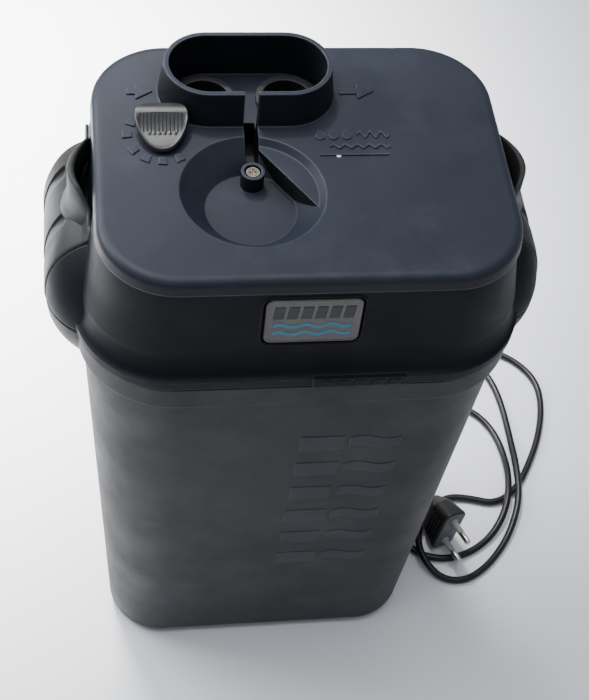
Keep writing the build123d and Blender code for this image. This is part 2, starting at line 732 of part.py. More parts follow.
keep("canister_body", make_tub())
keep("rubber_feet", make_feet())
keep("lid_gasket", make_gasket())
keep("head_shell", make_head_shell())
keep("head_floor", make_head_floor())
keep("floor_screws", make_floor_screws())
keep("head_cover", make_cover())
keep("cover_screw", make_cover_screw())
keep("badge_plate", make_badge())
keep("intake_port", make_port(-1, floor_z0 - 8))
keep("outlet_port", make_port(1, floor_z1))
keep("outlet_duct", make_outlet_duct())
keep("impeller_cover", make_impeller_cover())
keep("shaft_bushings", make_bushings())
keep("impeller_shaft", make_impeller_shaft())
keep("rotor_magnet", make_rotor_magnet())
keep("impeller", make_impeller())
keep("rotor_well", make_rotor_well())
keep("stator_core", make_stator_core())
keep("stator_coil", make_stator_coil())
keep("motor_housing", make_motor_housing())
keep("primer_cylinder", make_primer_cylinder())
keep("primer_rod", make_primer_rod())
keep("primer_piston", make_primer_piston())
keep("primer_seal", make_primer_seal())
keep("primer_knob", make_primer_knob())
for level in range(basket_count):
    keep(f"media_basket_{level + 1}", make_basket(level))
keep("basket_lid", make_basket_lid())
keep("foam_frame", make_foam_frame())
keep("coarse_foam", make_foam(0))
keep("fine_foam", make_foam(1))
for name, piece in (("clamp", make_clamp()), ("clamp_pin", make_clamp_pin())):
    keep(f"right_{name}", piece)
    keep(f"left_{name}", mirror(piece, Plane.YZ))
keep("strain_relief", make_strain_relief())
keep("power_cord_drop", lead(drop_route()))
keep("cord_coil", make_coil())
keep("power_cord_loops", lead(loops_route()))
keep("plug_body", make_plug_body())
keep("plug_pins", make_plug_pins())
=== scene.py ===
import math

import bmesh
import bpy
from mathutils import Matrix, Vector


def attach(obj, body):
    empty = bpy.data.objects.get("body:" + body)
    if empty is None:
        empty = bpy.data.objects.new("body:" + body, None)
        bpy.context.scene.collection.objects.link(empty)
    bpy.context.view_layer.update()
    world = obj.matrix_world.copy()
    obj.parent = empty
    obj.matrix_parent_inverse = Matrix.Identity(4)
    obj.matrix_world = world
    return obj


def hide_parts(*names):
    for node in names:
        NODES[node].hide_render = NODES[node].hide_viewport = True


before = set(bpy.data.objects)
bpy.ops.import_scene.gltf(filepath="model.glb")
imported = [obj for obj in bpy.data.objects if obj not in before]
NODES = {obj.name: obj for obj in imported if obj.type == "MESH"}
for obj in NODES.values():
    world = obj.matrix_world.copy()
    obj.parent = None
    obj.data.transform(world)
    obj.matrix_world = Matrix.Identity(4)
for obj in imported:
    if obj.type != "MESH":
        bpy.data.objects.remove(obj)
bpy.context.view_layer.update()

MM = 0.001


# ---- camera ---------------------------------------------------------------------------------------------
CAMERA_AT = (-95.27, -435.29, 816.70)
CAMERA_TURN = (-13.61, 53.72, 9.27)     # azimuth, elevation and roll in degrees


def add_camera():
    azimuth, elevation, roll = (math.radians(a) for a in CAMERA_TURN)
    back = Vector((math.sin(azimuth) * math.cos(elevation), -math.cos(azimuth) * math.cos(elevation),
                   math.sin(elevation)))
    right = (-back).cross(Vector((0, 0, 1))).normalized()
    up = right.cross(-back)
    x_axis = right * math.cos(roll) + up * math.sin(roll)
    y_axis = up * math.cos(roll) - right * math.sin(roll)
    data = bpy.data.cameras.new("view")
    data.sensor_fit = "VERTICAL"
    data.sensor_height = 36
    data.lens = 72.55
    camera = bpy.data.objects.new("view", data)
    bpy.context.collection.objects.link(camera)
    place = Matrix((x_axis, y_axis, back)).transposed().to_4x4()
    place.translation = Vector(CAMERA_AT) * MM
    camera.matrix_world = place
    bpy.context.scene.camera = camera


# ---- material helpers -----------------------------------------------------------------------------------
class Mat:
    """A node material built round one Principled shader."""

    def __init__(self, name, rough=0.5, **sockets):
        self.material = bpy.data.materials.new(name)
        self.material.use_nodes = True
        self.tree = self.material.node_tree
        self.shader = self.tree.nodes["Principled BSDF"]
        self.shader.inputs["Roughness"].default_value = rough
        for key, value in sockets.items():
            self.shader.inputs[key.replace("_", " ")].default_value = value
        self.coords = self.add("ShaderNodeTexCoord").outputs["Object"]

    def add(self, kind, **settings):
        node = self.tree.nodes.new(kind)
        for key, value in settings.items():
            setattr(node, key, value)
        return node

    def wire(self, source, target):
        self.tree.links.new(source, target)

    def noise(self, scale, detail=4.0, rough=0.55, stretch=None):
        node = self.add("ShaderNodeTexNoise")
        node.inputs["Scale"].default_value = scale
        node.inputs["Detail"].default_value = detail
        node.inputs["Roughness"].default_value = rough
        source = self.coords
        if stretch:
            mapping = self.add("ShaderNodeMapping")
            mapping.inputs["Scale"].default_value = stretch
            self.wire(source, mapping.inputs["Vector"])
            source = mapping.outputs["Vector"]
        self.wire(source, node.inputs["Vector"])
        return node.outputs["Fac"]

    def ramp(self, source, stops):
        node = self.add("ShaderNodeValToRGB")
        ramp = node.color_ramp
        while len(ramp.elements) < len(stops):
            ramp.elements.new(0.5)
        for element, (place, color) in zip(ramp.elements, stops):
            element.position = place
            element.color = color if len(color) == 4 else (*color, 1)
        self.wire(source, node.inputs["Fac"])
        return node.outputs["Color"]

    def level(self, source, low, high, to_low=0.0, to_high=1.0):
        node = self.add("ShaderNodeMapRange")
        for key, value in (("From Min", low), ("From Max", high), ("To Min", to_low), ("To Max", to_high)):
            node.inputs[key].default_value = value
        self.wire(source, node.inputs["Value"])
        return node.outputs["Result"]

    def mix(self, factor, a, b):
        node = self.add("ShaderNodeMix", data_type="RGBA")
        for value, key in ((factor, 0), (a, 6), (b, 7)):
            if hasattr(value, "links"):
                self.wire(value, node.inputs[key])
            else:
                node.inputs[key].default_value = value if key == 0 else (*value, 1)
        return node.outputs[2]

    def edge(self, radius):
        """About 1 on edges that a small radius would round, 0 on flats."""
        bevel = self.add("ShaderNodeBevel", samples=4)
        bevel.inputs["Radius"].default_value = radius
        flat = self.add("ShaderNodeNewGeometry")
        dot = self.add("ShaderNodeVectorMath", operation="DOT_PRODUCT")
        self.wire(bevel.outputs["Normal"], dot.inputs[0])
        self.wire(flat.outputs["Normal"], dot.inputs[1])
        return self.level(dot.outputs["Value"], 0.995, 0.80)

    def bump(self, layers, radius=0.0):
        """Stack (height source, strength, distance) bumps on a softened edge normal."""
        normal = None
        if radius:
            bevel = self.add("ShaderNodeBevel", samples=4)
            bevel.inputs["Radius"].default_value = radius
            normal = bevel.outputs["Normal"]
        for source, strength, distance in layers:
            node = self.add("ShaderNodeBump")
            node.inputs["Strength"].default_value = strength
            node.inputs["Distance"].default_value = distance
            self.wire(source, node.inputs["Height"])
            if normal is not None:
                self.wire(normal, node.inputs["Normal"])
            normal = node.outputs["Normal"]
        self.wire(normal, self.shader.inputs["Normal"])

    def color(self, source):
        self.wire(source, self.shader.inputs["Base Color"])

    def roughness(self, source):
        self.wire(source, self.shader.inputs["Roughness"])


# Colours of painted shade: on upright walls, and in corners and recesses.
PAINTED_SIDE_SHADE = (0.0035, 0.0042, 0.007)
PAINTED_CREVICE_SHADE = (0.002, 0.002, 0.002)


def moulded(name, dark, light, dust_wear_and_highlight, rough, grain=2600.0, edge=0.0011, dust=0.0, blotch=9.0, gloss=0.5,
            shade=0.0, side_shade=0.0):
    """Moulded plastic: soft blotches, fine spark-eroded grain, paler edges that are partly wear and partly
    painted highlight, and some dust.

    gloss is the specular level, shade the reach of the painted shade in corners and recesses, and side_shade
    how much painted shade darkens upright walls.
    """
    m = Mat(name, rough, Specular_IOR_Level=gloss)
    tone = m.level(m.noise(blotch, 6, 0.6), 0.32, 0.68)
    base = m.mix(tone, dark, light)
    if dust:
        specks = m.level(m.noise(900, 2, 0.5), 0.70, 0.78, 0, dust)
        cloud = m.level(m.noise(22, 8, 0.7), 0.52, 0.74, 0, dust * 0.55)
        both = m.add("ShaderNodeMath", operation="MAXIMUM")
        m.wire(specks, both.inputs[0])
        m.wire(cloud, both.inputs[1])
        base = m.mix(both.outputs[0], base, dust_wear_and_highlight)
    # Painted shade: upright walls are darkened by their normal.
    if side_shade:
        split = m.add("ShaderNodeSeparateXYZ")
        m.wire(m.add("ShaderNodeNewGeometry").outputs["Normal"], split.inputs["Vector"])
        base = m.mix(m.level(split.outputs["Z"], 0.1, 0.8, side_shade, 0.0), base, PAINTED_SIDE_SHADE)
    # Paler edges: partly wear, partly painted highlight along rounded edges.
    wear_and_highlight = m.add("ShaderNodeMath", operation="MULTIPLY")
    m.wire(m.edge(edge), wear_and_highlight.inputs[0])
    m.wire(m.level(m.noise(60, 4, 0.6), 0.3, 0.7, 0.35, 0.95), wear_and_highlight.inputs[1])
    tinted = m.mix(wear_and_highlight.outputs[0], base, dust_wear_and_highlight)
    # Painted shade: ambient occlusion darkens corners and recesses.
    if shade:
        hidden = m.add("ShaderNodeAmbientOcclusion", samples=8, only_local=True)
        hidden.inputs["Distance"].default_value = shade
        tinted = m.mix(m.level(hidden.outputs["AO"], 0.25, 0.85, 0.85, 0.0), tinted, PAINTED_CREVICE_SHADE)
    m.color(tinted)
    m.roughness(m.level(m.noise(35, 5, 0.6), 0.3, 0.7, rough - 0.07, rough + 0.09))
    m.bump([(m.noise(grain, 2, 0.5), 0.28, 0.00012), (m.noise(55, 3, 0.5), 0.05, 0.0006)], edge)
    return m.material


def make_materials():
    mats = {}
    mats["deck"] = moulded(
        "shell_deck", (0.013, 0.016, 0.026), (0.019, 0.023, 0.035), (0.12, 0.135, 0.18), 0.46,
        dust=0.20, gloss=0.26, shade=0.016, side_shade=0.85)
    # The head wall is the deck's plastic; its much darker colour is partly painted shade.
    mats["head"] = moulded(
        "shell_head", (0.0038, 0.0045, 0.007), (0.0065, 0.0075, 0.011), (0.07, 0.078, 0.10), 0.52,
        dust=0.05, gloss=0.12, shade=0.010)
    mats["tub"] = moulded(
        "shell_tub", (0.014, 0.0145, 0.017), (0.020, 0.0205, 0.0235), (0.09, 0.095, 0.105), 0.54,
        grain=1900, dust=0.16, blotch=5.0, gloss=0.3)
    mats["relief"] = moulded(
        "shell_relief", (0.024, 0.026, 0.030), (0.034, 0.035, 0.039), (0.10, 0.105, 0.115), 0.58,
        grain=1500, gloss=0.3)
    mats["clamp"] = moulded(
        "clamp_grey", (0.017, 0.0175, 0.018), (0.026, 0.0265, 0.027), (0.10, 0.10, 0.098), 0.52,
        dust=0.18, gloss=0.25)
    mats["inner"] = moulded(
        "inner_black", (0.005, 0.0055, 0.007), (0.009, 0.0095, 0.011), (0.05, 0.05, 0.055), 0.55)
    mats["basket"] = moulded(
        "basket_grey", (0.035, 0.040, 0.046), (0.05, 0.055, 0.06), (0.14, 0.15, 0.16), 0.5)
    mats["white"] = moulded(
        "white_plastic", (0.60, 0.61, 0.60), (0.70, 0.71, 0.69), (0.85, 0.85, 0.84), 0.42)
    mats["plug"] = moulded(
        "plug_black", (0.003, 0.0032, 0.0034), (0.0065, 0.0065, 0.0065), (0.04, 0.04, 0.04), 0.56,
        grain=1800, dust=0.2)
    mats["plug_face"] = moulded(
        "plug_face_grey", (0.075, 0.078, 0.085), (0.11, 0.11, 0.12), (0.2, 0.2, 0.2), 0.55)
    mats["sleeve"] = moulded(
        "pin_sleeve", (0.20, 0.20, 0.195), (0.28, 0.28, 0.27), (0.4, 0.4, 0.4), 0.45)
    mats["rubber"] = moulded(
        "rubber_black", (0.012, 0.012, 0.013), (0.022, 0.022, 0.023), (0.06, 0.06, 0.06), 0.72)
    mats["graphic_dark"] = moulded(
        "graphic_dark", (0.012, 0.014, 0.017), (0.02, 0.022, 0.026), (0.08, 0.08, 0.08), 0.45)
    mats["graphic_cyan"] = moulded(
        "graphic_cyan", (0.025, 0.16, 0.24), (0.035, 0.20, 0.29), (0.15, 0.3, 0.36), 0.42)

    badge = Mat("badge_silver", 0.36, Metallic=0.25)
    badge.color(badge.ramp(badge.noise(140, 5, 0.6, (1, 1, 6)), [
        (0.3, (0.085, 0.080, 0.073)), (0.7, (0.115, 0.109, 0.098))]))
    badge.bump([(badge.noise(900, 2, 0.5), 0.12, 0.0001)], 0.0006)
    mats["badge"] = badge.material

    knob = Mat("knob_cloudy", 0.34, Coat_Weight=0.45, Coat_Roughness=0.22, Subsurface_Weight=0.2,
               Subsurface_Scale=0.004)
    # The paler rims of the knob are painted highlight.
    knob.color(knob.mix(knob.edge(0.0009), knob.ramp(knob.noise(160, 5, 0.6), [
        (0.3, (0.010, 0.0105, 0.011)), (0.7, (0.024, 0.024, 0.024))]), (0.10, 0.105, 0.11)))
    knob.bump([(knob.noise(1800, 2, 0.5), 0.12, 0.0001)], 0.0005)
    mats["knob"] = knob.material

    steel = Mat("steel", 0.32, Metallic=1.0)
    steel.color(steel.ramp(steel.noise(400, 5, 0.6, (1, 1, 0.1)), [
        (0.3, (0.50, 0.49, 0.47)), (0.7, (0.66, 0.65, 0.62))]))
    steel.roughness(steel.level(steel.noise(220, 4, 0.6), 0.3, 0.7, 0.24, 0.44))
    steel.bump([(steel.noise(1500, 3, 0.5), 0.1, 0.00008)], 0.0003)
    mats["steel"] = steel.material

    screw = Mat("screw_dull", 0.5, Metallic=1.0)
    screw.color(screw.mix(screw.edge(0.0006), screw.ramp(screw.noise(400, 5, 0.6), [
        (0.3, (0.10, 0.085, 0.065)), (0.7, (0.22, 0.19, 0.15))]), (0.5, 0.48, 0.44)))
    screw.bump([(screw.noise(900, 3, 0.5), 0.3, 0.0002)])
    mats["screw"] = screw.material

    copper = Mat("enamelled_copper", 0.35, Metallic=0.9)
    copper.color(copper.ramp(copper.noise(800, 3, 0.5, (1, 1, 20)), [
        (0.35, (0.42, 0.16, 0.07)), (0.65, (0.60, 0.26, 0.12))]))
    copper.bump([(copper.noise(500, 2, 0.5, (0.05, 0.05, 8)), 0.5, 0.0003)])
    mats["copper"] = copper.material

    lead = Mat("lead_black", 0.42, Specular_IOR_Level=0.35, Coat_Weight=0.03, Coat_Roughness=0.3)
    lead.color(lead.ramp(lead.noise(300, 4, 0.6), [
        (0.3, (0.003, 0.003, 0.0045)), (0.7, (0.0065, 0.0065, 0.009))]))
    lead.roughness(lead.level(lead.noise(120, 4, 0.6), 0.3, 0.7, 0.30, 0.46))
    lead.bump([(lead.noise(1400, 2, 0.5), 0.14, 0.0001)])
    mats["lead"] = lead.material

    for key, low, high in (("foam_blue", (0.02, 0.04, 0.14), (0.06, 0.09, 0.24)),
                           ("foam_white", (0.55, 0.55, 0.50), (0.80, 0.80, 0.76))):
        foam = Mat(key, 0.9)
        cells = foam.add("ShaderNodeTexVoronoi")
        cells.inputs["Scale"].default_value = 420
        foam.wire(foam.coords, cells.inputs["Vector"])
        foam.color(foam.ramp(cells.outputs["Distance"], [(0.1, low), (0.6, high)]))
        foam.bump([(cells.outputs["Distance"], 0.9, 0.0008)])
        mats[key] = foam.material
    return mats


def paint(obj, material):
    obj.data.materials.clear()
    obj.data.materials.append(material)


# ---- mesh helpers ---------------------------------------------------------------------------------------
def piece(name, vertices, faces, material, body, slot, smooth=True):
    """A mesh piece in the row frame from millimetre vertices, riding on a CAD body."""
    mesh = bpy.data.meshes.new(name)
    mesh.from_pydata([Vector(v) * MM for v in vertices], [], faces)
    mesh.update()
    work = bmesh.new()
    work.from_mesh(mesh)
    bmesh.ops.remove_doubles(work, verts=work.verts, dist=1e-6)
    bmesh.ops.recalc_face_normals(work, faces=work.faces)
    work.to_mesh(mesh)
    work.free()
    for polygon in mesh.polygons:
        polygon.use_smooth = smooth
    obj = bpy.data.objects.new(name, mesh)
    bpy.context.collection.objects.link(obj)
    paint(obj, material)
    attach(obj, body)
    return obj


def smoothstep(share):
    return share * share * (3 - 2 * share)


def soften(obj, width, angle=35):
    """Bevels the edges sharper than an angle in degrees."""
    bevel = obj.modifiers.new("edges", "BEVEL")
    bevel.width = width * MM
    bevel.segments = 2
    bevel.limit_method = "ANGLE"
    bevel.angle_limit = math.radians(angle)


def rings_to_mesh(rings, cap=True):
    """Vertices and faces of a skin over equal closed rings, with flat ends."""
    count = len(rings[0])
    vertices = [p for ring in rings for p in ring]
    faces = []
    for i in range(len(rings) - 1):
        for j in range(count):
            k = (j + 1) % count
            faces.append((i * count + j, i * count + k, (i + 1) * count + k, (i + 1) * count + j))
    if cap:
        faces.append(tuple(range(count))[::-1])
        faces.append(tuple((len(rings) - 1) * count + j for j in range(count)))
    return vertices, faces


def lathe(profile, origin, axis, steps=48):
    """Rings of (distance along, radius) about an axis."""
    axis = Vector(axis).normalized()
    side = axis.orthogonal().normalized()
    other = axis.cross(side)
    rings = []
    for along, radius in profile:
        centre = Vector(origin) + axis * along
        ring = []
        for i in range(steps):
            turn = 2 * math.pi * i / steps
            ring.append(centre + (side * math.cos(turn) + other * math.sin(turn)) * radius)
        rings.append(ring)
    return rings_to_mesh(rings)


def rounded_rect(width, height, radius, steps=6):
    """Corner-rounded rectangle round the origin, anticlockwise."""
    points = []
    for cx, cy, start in ((1, 1, 0), (-1, 1, 90), (-1, -1, 180), (1, -1, 270)):
        for i in range(steps + 1):
            turn = math.radians(start + 90 * i / steps)
            points.append((cx * (width / 2 - radius) + radius * math.cos(turn),
                           cy * (height / 2 - radius) + radius * math.sin(turn)))
    return points


def prism(outline, lift, low, high):
    """Extrudes a flat outline: lift(u, v, height) gives the place of a point on the carrying surface."""
    return rings_to_mesh([[lift(u, v, low) for u, v in outline], [lift(u, v, high) for u, v in outline]])


def join(parts):
    """One list of vertices and one of faces from several pairs."""
    vertices, faces = [], []
    for more_vertices, more_faces in parts:
        base = len(vertices)
        vertices.extend(more_vertices)
        faces.extend(tuple(i + base for i in face) for face in more_faces)
    return vertices, faces


# ---- mains lead -----------------------------------------------------------------------------------------
LEAD_D = 4.6
LOW = LEAD_D / 2             # height of a run on the floor
OVER = LOW + LEAD_D + 0.2    # and of one that crosses another
COIL_AT = (105.0, 168.0)
COIL_TURNS = 3.25
GLAND = (66.0, 74.8, 312.0)
GLAND_LEN = 26.0
BOOT_END = (119.8, 10.4, 16.6)
BOOT_DIR = (0.9, -0.42, 0.08)
PLUG_AT = (128.1, -14.0, 18.9)
PLUG_TURN = ((-68.5, "Z"), (-5.0, "Y"), (-12.5, "X"))
PIN_PITCH = 18.6


def lead_route():
    """Drop from the gland, coil behind the filter, then the loops on the floor up to the plug."""
    y0 = GLAND[1] + GLAND_LEN
    route = [
        (66, y0, 312), (66, y0 + 13, 310), (66.5, y0 + 26, 298), (67, y0 + 32, 274), (66.5, y0 + 33, 228),
        (66, y0 + 32.4, 172), (66, y0 + 33.5, 116), (67, y0 + 34.5, 66), (69, y0 + 36, 34),
        (72, y0 + 40, 17), (75, y0 + 50, 9.0)]
    # turns of (radius, height): two on top of two, the last one leaves along the floor
    turns = ((24.6, 7.1), (29.4, 7.1), (24.6, 2.35), (29.6, 2.3))
    per_turn = 18
    for i in range(int(COIL_TURNS * per_turn)):
        turn, step = divmod(i, per_turn)
        share = smoothstep(max(0.0, step / per_turn - 0.72) / 0.28)
        here = turns[turn]
        after = turns[min(turn + 1, 3)]
        radius = here[0] + (after[0] - here[0]) * share
        height = here[1] + (after[1] - here[1]) * share
        angle = math.radians(180) - 2 * math.pi * i / per_turn
        wobble = 0.35 * math.sin(2.3 * i)
        route.append((COIL_AT[0] + (radius + wobble) * math.cos(angle),
                      COIL_AT[1] + (radius + wobble) * math.sin(angle), height))
    route += [
        (107, 198.5, LOW), (121, 196.5, LOW), (139, 188, LOW), (157, 174, LOW), (174, 157, LOW),
        (189, 140, LOW), (206, 129, LOW), (217, 112, LOW), (217, 91, LOW), (209, 65, LOW), (197, 42, LOW),
        (185, 24, LOW), (168, 13, LOW), (151, 18.5, LOW), (135.5, 20.5, LOW), (122.5, 12, LOW),
        (113.5, -1, LOW + 1.3), (109, -14, OVER + 0.4), (111, -28, OVER - 0.2), (121, -40, LOW + 0.5),
        (136, -42.5, LOW), (150, -35.5, LOW), (163.5, -23, LOW), (175, -7, LOW + 1.5), (184, 14, OVER),
        (187, 38, OVER), (188, 66, LOW + 1), (188, 92, LOW), (184, 115, LOW), (174, 132, LOW),
        (157, 139, LOW), (140, 133, LOW), (132.5, 117, LOW), (139, 101, LOW), (154, 94.5, LOW),
        (168, 86, LOW), (177.5, 71, LOW), (181, 52, LOW + 1), (180, 31, OVER), (174.5, 9, OVER),
        (163, -9, LOW + 1), (147, -21, LOW), (130, -26, LOW), (115, -24, LOW), (102.5, -15.5, 2.6),
        (97, -2, 5.2), (100.5, 10, 9.2), (111, 14.5, 13.6), BOOT_END]
    return route


def make_lead(mats):
    route = lead_route()
    data = bpy.data.curves.new("mains_lead", "CURVE")
    data.dimensions = "3D"
    data.bevel_depth = LEAD_D / 2 * MM
    data.bevel_resolution = 6
    data.resolution_u = 6
    data.use_fill_caps = True
    spline = data.splines.new("NURBS")
    spline.points.add(len(route) - 1)
    for point, place in zip(spline.points, route):
        point.co = (*(Vector(place) * MM), 1)
    spline.order_u = 3
    spline.use_endpoint_u = True
    lead = bpy.data.objects.new("mains_lead", data)
    bpy.context.collection.objects.link(lead)
    paint(lead, mats["lead"])
    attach(lead, "base")
    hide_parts("power_cord_drop", "cord_coil", "power_cord_loops")

    profile = [(-2, 5.2), (-1.2, 6.3), (0.6, 6.4)]
    ribs = 6
    for i in range(ribs):
        along = 2 + i * (GLAND_LEN - 4) / ribs
        radius = 6.1 - 2.7 * i / ribs
        profile += [(along, radius - 1.1), (along + 0.5, radius - 1.15), (along + 0.9, radius),
                    (along + 2.5, radius - 0.15), (along + 2.9, radius - 1.2)]
    profile += [(GLAND_LEN - 1, 3.1), (GLAND_LEN, 2.8), (GLAND_LEN + 0.4, 2.35)]
    relief = piece("strain_relief_boot", *lathe(profile, GLAND, (0, 1, 0)), mats["rubber"], "base",
                   "lead_black")
    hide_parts("strain_relief")
    plug_pieces = make_plug(mats)


def make_plug(mats):
    """A flat plug in its own frame: x towards the pins, y through its thickness, z across."""
    place = Matrix.Translation(Vector(PLUG_AT))
    for degrees, axis in PLUG_TURN:
        place = place @ Matrix.Rotation(math.radians(degrees), 4, axis)

    def ring(x, thick, wide, radius):
        return [place @ Vector((x, y, z)) for y, z in rounded_rect(thick, wide, radius)]

    body = rings_to_mesh([
        ring(-24.0, 7.0, 14.0, 3.0), ring(-23.4, 8.8, 17.0, 3.6), ring(-22.2, 9.8, 18.6, 3.9),
        ring(-15.4, 14.2, 27.0, 5.4), ring(-14.6, 14.9, 28.2, 5.6), ring(-13.6, 15.1, 28.8, 5.6),
        ring(-2.2, 17.2, 34.2, 5.6), ring(-0.8, 17.3, 34.6, 5.6), ring(-0.2, 16.6, 34.0, 5.2),
        ring(0.0, 15.8, 33.2, 4.8)])
    shell = piece("plug_shell", *body, mats["plug"], "base", "plug_black")
    face = rings_to_mesh([ring(-0.3, 14.6, 32.0, 4.4), ring(0.25, 14.6, 32.0, 4.4),
                          ring(0.4, 14.0, 31.4, 4.1)])
    front = piece("plug_front_face", *face, mats["plug_face"], "base", "plug_black")
    def grip_ring(x, y, wide, deep, radius):
        return [place @ Vector((x + dx, y, z)) for dx, z in rounded_rect(wide, deep, radius, 3)]

    grips = []
    for i in range(4):
        x = -11.8 + 2.6 * i
        half = 7.75 + (x + 14) * 0.085
        for side in (-1, 1):
            grips.append(rings_to_mesh([grip_ring(x, side * (half - 0.4), 1.1, 17, 0.5),
                                        grip_ring(x, side * (half + 0.45), 0.8, 16.6, 0.35)]))
    grip = piece("plug_grips", *join(grips), mats["plug"], "base", "plug_black")
    boot_profile = [(-0.4, 2.5), (0.0, 3.3), (1.4, 3.7), (1.9, 3.2), (2.5, 3.2), (2.9, 3.9), (4.6, 4.1),
                    (7.5, 4.3)]
    boot = piece("plug_boot", *lathe(boot_profile, BOOT_END, BOOT_DIR), mats["plug"], "base", "plug_black")
    ahead = place.to_3x3() @ Vector((1, 0, 0))
    sleeve_profile = [(0.2, 2.9), (0.7, 2.9), (1.0, 2.05), (9.6, 2.0), (9.8, 1.8)]
    tip_profile = [(9.5, 1.7), (9.8, 1.95), (17.0, 1.95), (18.0, 1.55), (18.4, 0.9), (18.5, 0.2)]
    sleeves, tips = [], []
    for side in (-1, 1):
        root = place @ Vector((0, 0, side * PIN_PITCH / 2))
        sleeves.append(lathe(sleeve_profile, root, ahead, 24))
        tips.append(lathe(tip_profile, root, ahead, 24))
    sleeve = piece("plug_pin_sleeves", *join(sleeves), mats["sleeve"], "base", "plug_black")
    tip = piece("plug_pin_tips", *join(tips), mats["steel"], "base", "steel")
    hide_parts("plug_body")
    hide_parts("plug_pins")
    return [shell, front, grip, boot, sleeve, tip]


# ---- clamps ---------------------------------------------------------------------------------------------
CLAMP_Y = 7.0               # middle of a clamp's width
CLAMP_HALF = 31.0
CLAMP_WALL = 2.3
CLAMP_FOOT_X = 96.9         # the shell comes no nearer to the head wall
HINGE_AT = (109.0, 277.0)   # x and z of the pin
BULGE_X = 92.0              # the side bulge is a quarter ellipse over (BULGE_X, BULGE_Z)
BULGE_Z = 290.5
BULGE_WIDE = 26.0
BULGE_TALL = 41.0
BULGE_FLAT = 25.5           # half length of its straight middle
BULGE_TURN = 29.0           # radius of its front
TILE_LINES = (-1.5, 26.5)   # the dents run out at these y
REAR_STEP = 34.5
LIP_Y = 3.0                 # the standing grip's widest place
LIP_HALF = 18.0
LIP_X = 95.4
LIP_TOP = 348.0


def clamp_outer():
    """The clamp's outer profile from hinge to neck as (x, z), over the side bulge."""
    points = [(114.6, 275.6), (116.4, 280.5), (118.0, 286.0)]
    for rise in (0, 4, 8, 12, 16, 20, 24, 27, 30, 32.5, 34.5, 36.5, 38.2, 39.4):
        share = math.sqrt(1 - (rise / BULGE_TALL) ** 2)
        points.append((max(BULGE_X + BULGE_WIDE * share + 0.5, 97.2 + (39.4 - rise) * 0.16), BULGE_Z + rise))
    return points + [(96.4, BULGE_Z + 44.0), (95.9, BULGE_Z + 50.0), (95.5, LIP_TOP)]


def along_profile(points, share):
    """The place at a share of a polyline's length."""
    lengths = [0.0]
    for a, b in zip(points, points[1:]):
        lengths.append(lengths[-1] + math.dist(a, b))
    target = share * lengths[-1]
    for i, (a, b) in enumerate(zip(points, points[1:])):
        if lengths[i + 1] >= target or i == len(points) - 2:
            t = (target - lengths[i]) / (lengths[i + 1] - lengths[i])
            return a[0] + (b[0] - a[0]) * t, a[1] + (b[1] - a[1]) * t


def lip_x(y, reach):
    """Where the standing grip is at y: a bell curve between two straight ends along the head wall."""
    turn = min(1.0, abs(y - LIP_Y) / LIP_HALF)
    return LIP_X + reach * (0.5 + 0.5 * math.cos(math.pi * turn)) ** 0.42


def dome_fall(y, z):
    """How far the bulge's front half curves back from its straight middle."""
    rise = max(0.0, min(39.5, z - BULGE_Z))
    flat = BULGE_FLAT * math.sqrt(1 - (rise / BULGE_TALL) ** 2)
    past = min(28.0, max(0.0, 5.0 - y - flat))
    return 0.9 * (BULGE_TURN - math.sqrt(BULGE_TURN ** 2 - past ** 2))


def clamp_dent(x, y, z):
    """Depth of the dents in front of each tile line, and of the lower step at the rear end."""
    if z < 281:
        return 0.0
    reach, inner_x = 8.0, 107.0
    depth = 0.0
    inner = min(1.0, max(0.0, (x - inner_x) / 1.2))
    for line in TILE_LINES:
        ahead = line - y
        if 0 <= ahead < reach:
            deep = 2.5 - 1.9 * min(1.0, (x - inner_x) / reach)
            depth = max(depth, (1 - ahead / reach) * deep * inner)
    if y > REAR_STEP:
        depth = max(depth, 1.2 * min(1.0, (y - REAR_STEP) / 0.4))
    return depth


def clamp_shell(y_front, y_rear, profile, table):
    """Vertices and faces of the outer skin over the bulge, for the right clamp."""
    rows, columns = 150, 84

    def top_share(y):
        """How far up the profile the skin reaches at y: up to the neck, or to the foot of the grip."""
        limit = max(CLAMP_FOOT_X, lip_x(y, 8.2))
        for i, (x, z) in enumerate(table):
            if z > 300 and x <= limit:
                return i / (len(table) - 1)
        return 1.0

    grid = []
    ys = [y_front + (y_rear - y_front) * i / rows for i in range(rows + 1)]
    # a row on either side of each step keeps it sharp
    for line in (*TILE_LINES, REAR_STEP + 0.2):
        nearest = min(range(rows + 1), key=lambda i: abs(ys[i] - line))
        ys[nearest] = line + 0.02
        ys[nearest - 1] = line - 0.02
    for y in ys:
        reach = top_share(y)
        column = []
        for j in range(columns + 1):
            share = reach * j / columns
            x, z = along_profile(profile, share)
            ahead, above = along_profile(profile, min(1.0, share + 0.004))
            behind, below = along_profile(profile, max(0.0, share - 0.004))
            normal = Vector((above - below, 0, behind - ahead)).normalized()
            depth = clamp_dent(x, y, z)
            edge = min(y - y_front, y_rear - y)
            depth += 0.9 * max(0.0, 1 - edge / 1.2) ** 2
            place = x - normal.x * depth
            place = max(min(place, CLAMP_FOOT_X), place - dome_fall(y, z))
            column.append((place, y, z - normal.z * depth))
        grid.append(column)
    faces = []
    for i in range(rows):
        for j in range(columns):
            a = i * (columns + 1) + j
            faces.append((a, a + columns + 1, a + columns + 2, a + 1))
    return [p for column in grid for p in column], faces


